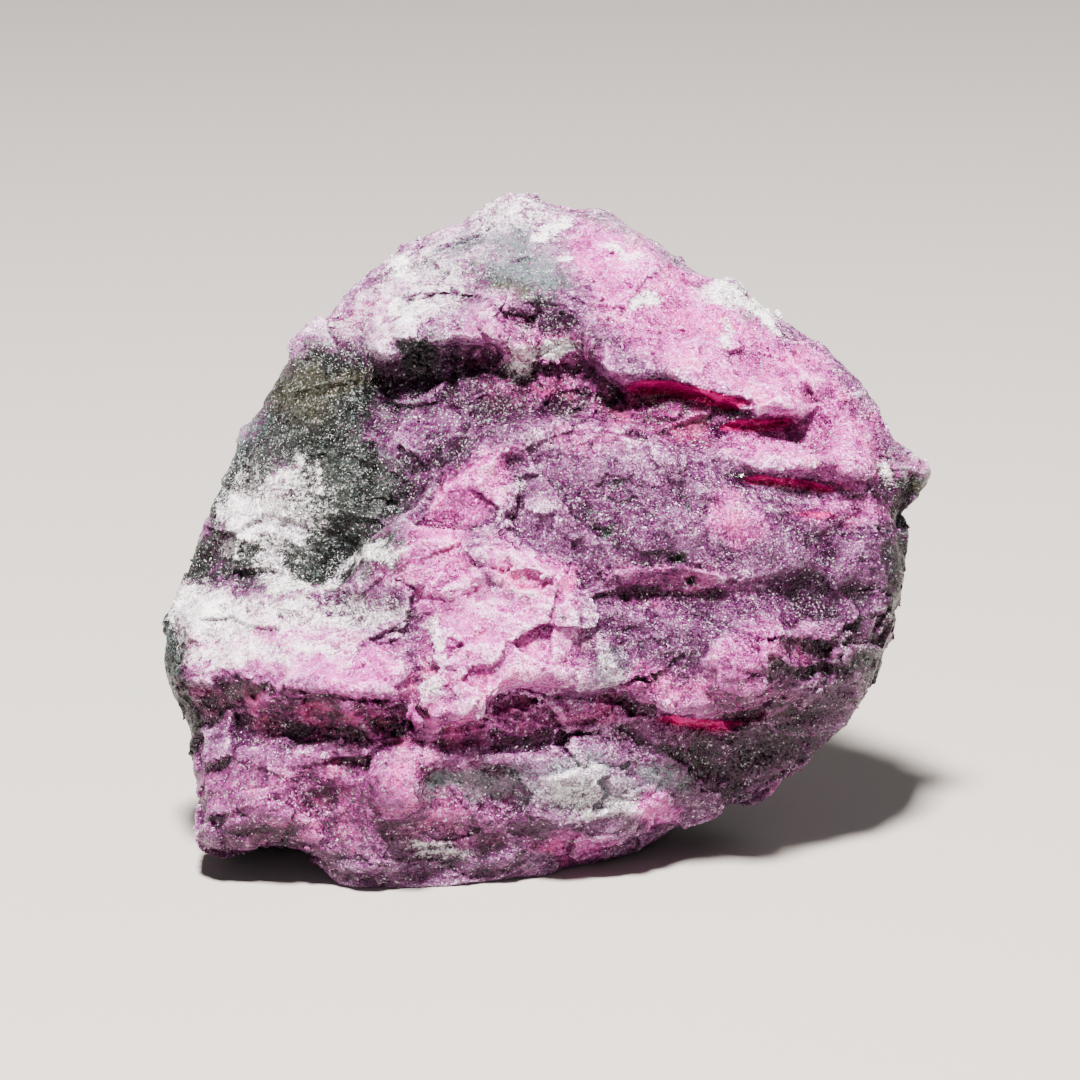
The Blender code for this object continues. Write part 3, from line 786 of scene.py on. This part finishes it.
@dataclass
class LooseCrystals:
    """Small tabular crystals and splinters that stand out of the broken skin, half buried in it."""

    count: int = 14000
    smallest: float = 0.25
    largest: float = 1.3
    sides: int = 4
    buried: float = 0.30
    lean: float = 32.0
    seed: int = 7

    def build(self, skin: bpy.types.Mesh) -> bpy.types.Object:
        """Strews the crystals over the skin as one mesh.

        Args:
            skin: The finished skin, whose points carry its minerals and its wear.

        Returns:
            The crystals, with their origin at the world's origin.
        """
        chance = np.random.default_rng(self.seed)
        points, faces = self.crystal()
        spots = self.spots(skin, chance)
        outward = np.empty(3 * len(skin.vertices))
        skin.vertex_normals.foreach_get("vector", outward)
        turns = self.turns(outward.reshape(-1, 3)[spots], chance)
        size = self.smallest * (self.largest / self.smallest) ** (chance.random(self.count) ** 1.8)
        shape = size[:, None] * chance.uniform((0.6, 0.35, 0.25), (1.0, 0.8, 0.8), (self.count, 3))
        own = np.einsum("nij,nkj->nki", turns, points[None] * shape[:, None] * MM)
        base = read_points(skin)[spots] - turns[:, :, 2] * (self.buried * size * MM)[:, None]
        placed = (base[:, None] + own).reshape(-1, 3)
        placed[:, 2] = np.maximum(placed[:, 2], 0.05 * MM)
        mesh = self.joined(placed, faces, len(points))
        self.colour(mesh, skin, spots, len(points), chance)
        crystals = bpy.data.objects.new("loose_crystals", mesh)
        bpy.context.scene.collection.objects.link(crystals)
        return crystals

    def crystal(self) -> tuple[np.ndarray, np.ndarray]:
        """Makes one blunt four-sided crystal, about one unit wide.

        Returns:
            Its points and its triangles.
        """
        made = bmesh.new()
        bmesh.ops.create_cone(
            made, cap_ends=True, segments=self.sides, radius1=0.5, radius2=0.36, depth=0.8
        )
        bmesh.ops.triangulate(made, faces=made.faces)
        made.verts.index_update()
        points = np.array([vert.co[:] for vert in made.verts])
        faces = np.array([[vert.index for vert in face.verts] for face in made.faces])
        made.free()
        return points, faces

    def spots(self, skin: bpy.types.Mesh, chance: np.random.Generator) -> np.ndarray:
        """Picks the skin's points that carry a crystal, more of them on pale and proud ground.

        Args:
            skin: The finished skin.
            chance: The source of chance.

        Returns:
            Point numbers.
        """
        minerals, wear = read_shares(skin, "minerals"), read_shares(skin, "wear")
        places = FACE.place(read_points(skin))
        likely = 0.25 + minerals[:, 0] + 0.8 * minerals[:, 2] + 1.5 * np.clip(wear[:, 1] - 0.5, 0, 1)
        likely *= smooth_step(0.55 + 1.6 * lumps(places, 5.0, 2, 40.0)) * (minerals[:, 3] < 0.3)
        likely *= np.where(places[:, 2] > -1.0, 1.0, 1.8) * (read_points(skin)[:, 2] > 1.0 * MM)
        return chance.choice(len(likely), self.count, replace=False, p=likely / likely.sum())

    def turns(self, outward: np.ndarray, chance: np.random.Generator) -> np.ndarray:
        """Turns each crystal to stand roughly out of the skin, leaning and spun by chance.

        Args:
            outward: The skin's outward direction at each crystal.
            chance: The source of chance.

        Returns:
            One rotation matrix a crystal.
        """
        lean = chance.normal(0.0, math.radians(self.lean), (len(outward), 3))
        up = outward + lean
        up /= np.linalg.norm(up, axis=1, keepdims=True)
        side = np.cross(up, chance.normal(size=up.shape))
        side /= np.linalg.norm(side, axis=1, keepdims=True)
        return np.stack([side, np.cross(up, side), up], axis=2)

    def joined(self, placed: np.ndarray, faces: np.ndarray, step: int) -> bpy.types.Mesh:
        """Joins every crystal into one mesh.

        Args:
            placed: All points in metres.
            faces: One crystal's triangles.
            step: How many points a crystal has.

        Returns:
            The mesh.
        """
        corners = (faces[None] + step * np.arange(self.count)[:, None, None]).reshape(-1)
        mesh = bpy.data.meshes.new("loose_crystals")
        mesh.vertices.add(len(placed))
        mesh.vertices.foreach_set("co", placed.ravel())
        mesh.loops.add(len(corners))
        mesh.loops.foreach_set("vertex_index", corners)
        mesh.polygons.add(len(corners) // 3)
        mesh.polygons.foreach_set("loop_start", np.arange(0, len(corners), 3))
        mesh.update(calc_edges=True)
        mesh.shade_flat()
        return mesh

    def colour(self, mesh: bpy.types.Mesh, skin: bpy.types.Mesh, spots: np.ndarray, step: int,
               chance: np.random.Generator) -> None:
        """Gives each crystal the minerals of the ground it stands on, a little paler or deeper.

        Args:
            mesh: The crystals' mesh.
            skin: The finished skin.
            spots: The skin's point under each crystal.
            step: How many points a crystal has.
            chance: The source of chance.
        """
        for name in ("minerals", "veils", "wear"):
            values = read_shares(skin, name)[spots]
            if name == "wear":
                paler = chance.uniform(-0.1, 0.5, (self.count, 1))
                values[:, :3] = 0.5 + 0.5 * (values[:, :3] - 0.5) + paler
            write_shares(mesh, name, np.repeat(values, step, axis=0))


def read_shares(mesh: bpy.types.Mesh, name: str) -> np.ndarray:
    """Reads a colour attribute.

    Args:
        mesh: The mesh.
        name: The attribute's name.

    Returns:
        One row of four values a point.
    """
    values = np.empty(4 * len(mesh.vertices), dtype=np.float32)
    mesh.attributes[name].data.foreach_get("color", values)
    return values.reshape(-1, 4)


def write_shares(mesh: bpy.types.Mesh, name: str, values: np.ndarray) -> None:
    """Stores a colour attribute.

    Args:
        mesh: The mesh.
        name: The attribute's name.
        values: One row of four values a point.
    """
    layer = mesh.attributes.new(name, "FLOAT_COLOR", "POINT")
    layer.data.foreach_set("color", values.astype(np.float32).ravel())


# --------------------------------------------------------------------------------------------------
# Finishes
# --------------------------------------------------------------------------------------------------

Socket = bpy.types.NodeSocket
SMOOTH = {"interpolation_type": "SMOOTHSTEP"}
BLEND = {"data_type": "RGBA", "clamp_factor": True}


def add(tree: bpy.types.NodeTree, kind: str, settings: dict | None = None, **inputs) -> bpy.types.Node:
    """Adds a node with its settings and its inputs, a value or a link each.

    Args:
        tree: The node tree.
        kind: The node's type without its ShaderNode prefix.
        settings: Properties of the node. "stops" holds a colour ramp's positions and sRGB hex colours.
        **inputs: Input sockets by name, an underscore for each space, or i0, i1 by place.

    Returns:
        The new node.
    """
    made = tree.nodes.new("ShaderNode" + kind)
    for name, value in (settings or {}).items():
        if name != "stops":
            setattr(made, name, value)
            continue
        elements = made.color_ramp.elements
        while len(elements) < len(value):
            elements.new(0.5)
        for element, (position, colour) in zip(elements, value):
            element.position, element.color = position, linear(colour)
    for name, value in inputs.items():
        by_place = name[0] == "i" and name[1:].isdigit()
        socket = made.inputs[int(name[1:])] if by_place else made.inputs[name.replace("_", " ")]
        if isinstance(value, Socket):
            tree.links.new(value, socket)
        else:
            socket.default_value = value
    return made


def total(tree: bpy.types.NodeTree, start: Socket | float, *terms: tuple[Socket, float]) -> Socket:
    """Adds weighted terms to a starting value.

    Args:
        tree: The node tree.
        start: The starting value or link.
        *terms: Pairs of a link and its weight.

    Returns:
        The sum.
    """
    for value, weight in terms:
        made = add(tree, "Math", {"operation": "MULTIPLY_ADD"}, i0=value, i1=weight, i2=start)
        start = made.outputs[0]
    return start


@dataclass(frozen=True)
class Patterns:
    """What the finish reads at each point: the stored shares and the drawn noise, as links by name.

    Each grain of the "grain" and the "fine" pattern has its node in cells, and in chances the three
    random values that it holds all over.
    """

    tree: bpy.types.NodeTree
    place: Socket
    stored: dict[str, Socket]
    clouds: dict[str, Socket]
    cells: dict[str, bpy.types.Node]
    chances: dict[str, list[Socket]]


@dataclass(frozen=True)
class StoneFinish:
    """Massive ruby with black-green mica matrix and white feldspar, freshly broken.

    A broken mass of ruby is a pack of glassy grains a fraction of a millimetre wide, each snapped off
    at its own angle. The eye sees pink sugar: every grain a slightly different pink, pale along broken
    edges, partly crushed and partly painted highlight, darkened with painted shade in the hollows, and
    with sharp points of light where a grain's face throws the light back: real ones from the tilted
    glassy grains, and pale flecks painted into the colour.
    A border row gives a mineral's softness, and how far specks, grains, fine grains and streaks fray it.
    A row of the painted flecks of light gives where they start, where they are full, and their strength.
    """

    name: str = "ruby_in_matrix"
    grain: float = 0.62
    fine_grain: float = 0.14
    slopes: tuple[float, float] = (0.55, 1.5)
    refraction: float = 1.76
    polish: tuple[float, float] = (0.09, 0.34)
    sparkle: float = 0.17
    glow: float = 0.25
    glow_reach: tuple[float, float, float] = (1.0, 0.35, 0.7)
    borders: tuple[tuple[str, float, float, float, float, float], ...] = (
        ("ruby", 0.42, 0.55, 0.26, 0.22, 0.35),
        ("matrix", 0.24, 0.55, 0.22, 0.26, 0.45),
        ("white", 0.32, 0.65, 0.20, 0.36, 0.80),
        ("crimson", 0.26, 0.40, 0.20, 0.20, 0.30),
        ("teal", 0.40, 0.80, 0.40, 0.60, 0.60),
        ("olive", 0.40, 0.60, 0.20, 0.30, 0.50),
    )
    painted_glint_steps: tuple[tuple[float, float, float], ...] = ((1.32, 1.48, 0.10), (1.42, 1.48, 0.8))
    ruby: tuple[tuple[float, str], ...] = (
        (0.0, "#300824"), (0.25, "#6e1a58"), (0.5, "#aa3c92"), (0.75, "#d264ba"), (1.0, "#f8c0f0"),
    )
    smoky: tuple[tuple[float, str], ...] = (
        (0.0, "#1c0518"), (0.25, "#381034"), (0.5, "#5a2a54"), (0.75, "#8a5886"), (1.0, "#dec4de"),
    )
    matrix: tuple[tuple[float, str], ...] = (
        (0.0, "#060706"), (0.4, "#1a1d1c"), (0.7, "#383e3b"), (1.0, "#9aa29e"),
    )
    white: tuple[tuple[float, str], ...] = (
        (0.0, "#1c161e"), (0.3, "#75677a"), (0.6, "#d0c6d3"), (1.0, "#ffffff"),
    )
    crimson: tuple[tuple[float, str], ...] = ((0.0, "#bc0062"), (1.0, "#cc1488"))
    teal: str = "#64787a"
    olive: str = "#4e4730"
    warm: str = "#ea52a0"
    painted_glint_colour: str = "#fbeefa"
    teal_veil: float = 0.62
    olive_veil: float = 0.42
    warm_veil: float = 0.45

    def build(self) -> bpy.types.Material:
        """Makes the material.

        Returns:
            The material, whose colour, roughness and relief follow the stored mineral shares.
        """
        material = bpy.data.materials.new(self.name)
        material.use_nodes = True
        tree = material.node_tree
        tree.nodes.clear()
        read = self.patterns(tree)
        masks = self.masks(read)
        shader = add(tree, "BsdfPrincipled", None, Base_Color=self.colour(read, masks),
                     Roughness=self.roughness(read, masks), Normal=self.relief(read),
                     IOR=self.refraction)
        shader.inputs["Specular IOR Level"].default_value = self.sparkle
        shader.inputs["Subsurface Weight"].default_value = self.glow
        shader.inputs["Subsurface Radius"].default_value = self.glow_reach
        shader.inputs["Subsurface Scale"].default_value = MM
        add(tree, "OutputMaterial", None, Surface=shader.outputs[0])
        return material

    def patterns(self, tree: bpy.types.NodeTree) -> Patterns:
        """Reads the stored shares and draws the noise and the two sizes of grain.

        Args:
            tree: The node tree.

        Returns:
            The patterns, with places in millimetres.
        """
        place = add(tree, "TexCoord").outputs["Object"]
        place = add(tree, "VectorMath", {"operation": "SCALE"}, Vector=place, Scale=1 / MM).outputs[0]
        stored = {}
        for layer, names in (
            ("minerals", ("ruby", "matrix", "white", "crimson")),
            ("veils", ("teal", "olive", "dark", "blush")),
            ("wear", ("fine_wear", "wear", "broad_wear")),
        ):
            held = add(tree, "Attribute", {"attribute_name": layer})
            parts = add(tree, "SeparateColor", None, Color=held.outputs["Color"])
            stored.update(zip(names, (*parts.outputs[:3], held.outputs["Alpha"])))
        cells = {
            "grain": add(tree, "TexVoronoi", {"feature": "F1"}, Vector=place, Scale=1 / self.grain),
            "fine": add(tree, "TexVoronoi", {"feature": "F1"}, Vector=place, Scale=1 / self.fine_grain),
        }
        flow = add(tree, "Mapping", None, Vector=place, Rotation=(0, math.radians(6), 0),
                   Scale=(0.22, 1, 1.1)).outputs[0]
        clouds = {
            "broad": add(tree, "TexNoise", None, Vector=place, Scale=0.30, Detail=3.0, Roughness=0.6),
            "speck": add(tree, "TexNoise", None, Vector=place, Scale=1.5, Detail=4.0, Roughness=0.75),
            "streak": add(tree, "TexNoise", None, Vector=flow, Scale=1.3, Detail=4.0, Roughness=0.7,
                          Distortion=0.6),
        }
        chances = {
            name: list(add(tree, "SeparateColor", None, Color=made.outputs["Color"]).outputs)
            for name, made in cells.items()
        }
        clouds = {name: made.outputs[0] for name, made in clouds.items()}
        return Patterns(tree, place, stored, clouds, cells, chances)

    def masks(self, read: Patterns) -> dict[str, Socket]:
        """Lets every grain near a border choose its own side, so that minerals mingle there.

        Args:
            read: The patterns.

        Returns:
            How much of each mineral shows, 0 to 1.
        """
        made = {}
        for name, soft, speck, grain, fine, streak in self.borders:
            value = total(read.tree, read.stored[name], (read.clouds["speck"], speck),
                          (read.chances["grain"][0], grain), (read.chances["fine"][1], fine),
                          (read.clouds["streak"], streak))
            middle = 0.5 + 0.5 * (speck + grain + fine + streak)
            made[name] = add(read.tree, "MapRange", SMOOTH, Value=value, i1=middle - soft,
                             i2=middle + soft).outputs[0]
        return made

    def colour(self, read: Patterns, masks: dict[str, Socket]) -> Socket:
        """Lays the minerals over each other: pale where the skin stands proud, partly crushed ruby and
        partly painted highlight, and darker with painted shade where it is sunk.

        Args:
            read: The patterns.
            masks: How much of each mineral shows.

        Returns:
            The colour.
        """
        tree, stored, clouds = read.tree, read.stored, read.clouds
        grain, fine = read.chances["grain"], read.chances["fine"]
        vary = total(tree, -0.42, (grain[1], 0.07), (fine[0], 0.32), (clouds["streak"], 0.24),
                     (clouds["speck"], 0.21))
        # Pale where the skin stands proud, partly crushed ruby and partly painted highlight; darker where
        # it is sunk, which is painted shade.
        crushed_pale_and_painted_light = total(tree, -0.35, (stored["fine_wear"], 0.20), (stored["wear"], 0.28),
                     (stored["broad_wear"], 0.22))
        # The dark veil is painted shade and lowers the tones under it; the pale veil raises the ruby's,
        # partly as painted sheen.
        tones = {
            "ruby": total(tree, 0.17, (vary, 1.2), (crushed_pale_and_painted_light, 1.0), (clouds["broad"], 0.6),
                          (stored["dark"], -0.38), (stored["blush"], 0.24)),
            "matrix": total(tree, 0.39, (vary, 1.2), (crushed_pale_and_painted_light, 0.8), (stored["dark"], -0.28)),
            "white": total(tree, 0.82, (vary, 2.8), (crushed_pale_and_painted_light, 1.2)),
            "crimson": total(tree, 0.4, (vary, 1.0), (crushed_pale_and_painted_light, 0.5)),
        }
        tones["smoky"] = tones["ruby"]
        shown = {
            name: add(tree, "ValToRGB", {"stops": getattr(self, name)}, Fac=tone).outputs[0]
            for name, tone in tones.items()
        }
        warmer = add(tree, "MapRange", SMOOTH, Value=clouds["broad"], i1=0.48, i2=0.72).outputs[0]
        clear = add(tree, "Mix", BLEND, i0=total(tree, 0.0, (warmer, self.warm_veil)), i6=shown["ruby"],
                    i7=linear(self.warm)).outputs[2]
        base = shown["smoky"]
        for share, above in (
            (masks["ruby"], clear),
            (masks["matrix"], shown["matrix"]),
            (total(tree, 0.0, (masks["olive"], self.olive_veil)), linear(self.olive)),
            (total(tree, 0.0, (masks["teal"], self.teal_veil)), linear(self.teal)),
            (masks["white"], shown["white"]),
            (masks["crimson"], shown["crimson"]),
            # Painted flecks of light go on last, over every mineral.
            (self.painted_glint_strength(read, masks), linear(self.painted_glint_colour)),
        ):
            base = add(tree, "Mix", BLEND, i0=share, i6=base, i7=above).outputs[2]
        return base

    def painted_glint_strength(self, read: Patterns, masks: dict[str, Socket]) -> Socket:
        """Paints pale flecks of light on the few fine grains taken to throw the light back, fewer on the
        dull matrix and in the painted shade.

        Args:
            read: The patterns.
            masks: How much of each mineral shows.

        Returns:
            The strength of the painted flecks of light.
        """
        lit = total(read.tree, read.chances["fine"][2], (read.clouds["speck"], 0.5),
                    (read.clouds["streak"], 0.4), (masks["crimson"], -0.5))
        bright = [
            (add(read.tree, "MapRange", SMOOTH, Value=lit, i1=start, i2=full).outputs[0], strength)
            for start, full, strength in self.painted_glint_steps
        ]
        # Fewer painted flecks of light on the matrix and in the painted shade of the dark veil.
        quiet = total(read.tree, 1.0, (masks["matrix"], -0.4), (read.stored["dark"], -0.45))
        return add(read.tree, "Math", {"operation": "MULTIPLY"}, i0=total(read.tree, 0.0, *bright),
                   i1=quiet).outputs[0]

    def roughness(self, read: Patterns, masks: dict[str, Socket]) -> Socket:
        """Gives most grains a dull face and some a glassy one.

        Args:
            read: The patterns.
            masks: How much of each mineral shows.

        Returns:
            The roughness.
        """
        rough = add(read.tree, "MapRange", None, Value=read.chances["grain"][2], i1=0.0, i2=1.0,
                    i3=self.polish[0], i4=self.polish[1]).outputs[0]
        return total(read.tree, rough, (masks["crimson"], -0.05), (masks["white"], 0.1))

    def relief(self, read: Patterns) -> Socket:
        """Tilts every grain's face its own way, in two sizes, and less so in the clear red ruby.

        Args:
            read: The patterns.

        Returns:
            The bumped normal.
        """
        tree = read.tree
        height = total(tree, 0.0, (read.clouds["speck"], 0.12), (read.clouds["streak"], 0.10))
        for name, size, slope in zip(("grain", "fine"), (self.grain, self.fine_grain), self.slopes):
            cell = read.cells[name].outputs
            centre = add(tree, "VectorMath", {"operation": "SCALE"}, Vector=cell["Position"], Scale=size)
            away = add(tree, "VectorMath", {"operation": "SUBTRACT"}, i0=read.place,
                       i1=centre.outputs[0])
            tilt = add(tree, "VectorMath", {"operation": "SUBTRACT"}, i0=cell["Color"],
                       i1=(0.5, 0.5, 0.5))
            raised = add(tree, "VectorMath", {"operation": "DOT_PRODUCT"}, i0=away.outputs[0],
                         i1=tilt.outputs[0])
            height = total(tree, height, (raised.outputs["Value"], slope))
        quiet = total(tree, 1.0, (read.stored["crimson"], -0.75))
        height = add(tree, "Math", {"operation": "MULTIPLY"}, i0=height, i1=quiet).outputs[0]
        return add(tree, "Bump", None, Strength=1.0, Distance=MM, Height=height).outputs[0]


# --------------------------------------------------------------------------------------------------
# Studio
# --------------------------------------------------------------------------------------------------


@dataclass(frozen=True)
class Light:
    """A rectangular soft light that faces the stone's middle. Its power is in watts."""

    name: str
    size_m: tuple[float, float]
    power: float
    place_m: tuple[float, float, float]
    colour: str
    target_m: tuple[float, float, float] = (0, 0, 0.03)

    def hang(self) -> None:
        """Makes the light and turns it to the stone."""
        lamp = bpy.data.lights.new(self.name, "AREA")
        lamp.shape = "RECTANGLE"
        lamp.size, lamp.size_y = self.size_m
        lamp.energy = self.power
        lamp.color = linear(self.colour)[:3]
        holder = bpy.data.objects.new(self.name, lamp)
        toward = Vector(self.target_m) - Vector(self.place_m)
        turn = toward.to_track_quat("-Z", "Y").to_matrix().to_4x4()
        holder.matrix_world = Matrix.Translation(self.place_m) @ turn
        bpy.context.scene.collection.objects.link(holder)


@dataclass(frozen=True)
class Studio:
    """A pale floor, a strong soft key from above the front, gentle fill and the camera.

    The ambient pair gives the strength of the light from all round, and of the backdrop that is seen.
    """

    camera_left: float = -0.2
    camera_lens: float = 150.0
    floor_half_m: float = 2.0
    floor_colour: str = "#a29e9a"
    backdrop: str = "#e9e6e4"
    ambient: tuple[float, float] = (0.18, 0.85)
    lights: tuple[Light, ...] = (
        Light("key", (0.10, 0.10), 41.0, (-0.06, -0.28, 0.70), "#fff8f2"),
        Light("fill", (0.7, 0.5), 0.6, (-0.5, -0.6, 0.25), "#f4f2ff"),
        Light("rim", (0.4, 0.4), 1.2, (0.45, 0.45, 0.5), "#ffffff"),
    )

    def build(self) -> None:
        """Makes the floor, the world, the lights and the camera."""
        self.floor()
        self.world()
        for light in self.lights:
            light.hang()
        self.camera()

    def floor(self) -> None:
        """Makes the floor plane with its plain pale finish."""
        mesh = bmesh.new()
        bmesh.ops.create_grid(mesh, x_segments=1, y_segments=1, size=self.floor_half_m)
        data = bpy.data.meshes.new("floor")
        mesh.to_mesh(data)
        mesh.free()
        material = bpy.data.materials.new("pale_floor")
        material.use_nodes = True
        shader = material.node_tree.nodes["Principled BSDF"]
        shader.inputs["Base Color"].default_value = linear(self.floor_colour)
        shader.inputs["Roughness"].default_value = 0.8
        data.materials.append(material)
        plane = bpy.data.objects.new("floor", data)
        bpy.context.scene.collection.objects.link(plane)

    def world(self) -> None:
        """Lights the scene weakly from all round, and shows a pale backdrop beyond the floor."""
        world = bpy.data.worlds.new("studio")
        world.use_nodes = True
        tree = world.node_tree
        background = tree.nodes["Background"]
        background.inputs["Color"].default_value = linear(self.backdrop)
        seen = add(tree, "LightPath").outputs["Is Camera Ray"]
        strength = add(tree, "MapRange", None, Value=seen, i3=self.ambient[0], i4=self.ambient[1])
        tree.links.new(strength.outputs[0], background.inputs["Strength"])
        bpy.context.scene.world = world

    def camera(self) -> None:
        """Stands the camera square to the broad face, on the axis through the stone's core."""
        camera = bpy.data.cameras.new("camera")
        camera.lens = self.camera_lens
        camera.sensor_width = 36.0
        holder = bpy.data.objects.new("camera", camera)
        outward = Vector(FACE.outward())
        place_m = (Vector(FACE.core) + Vector((self.camera_left, 0, 0))) * MM + outward * FACE.eye * MM
        turn = (-outward).to_track_quat("-Z", "Y").to_matrix().to_4x4()
        holder.matrix_world = Matrix.Translation(place_m) @ turn
        bpy.context.scene.collection.objects.link(holder)
        bpy.context.scene.camera = holder


def main() -> None:
    """Builds the stone and its studio, and reports each piece."""
    logging.basicConfig(level=logging.INFO, format="%(name)s: %(message)s")
    noise.seed_set(SWIRL_SEED)
    finish = StoneFinish().build()
    stone = Skin().build()
    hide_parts("raw_ruby")
    crystals = LooseCrystals().build(stone.data)
    for piece in (stone, crystals):
        piece.data.materials.append(finish)
        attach(piece, "root")
        LOG.info("%s: %d faces", piece.name, len(piece.data.polygons))
    Studio().build()


if __name__ == "__main__":
    main()
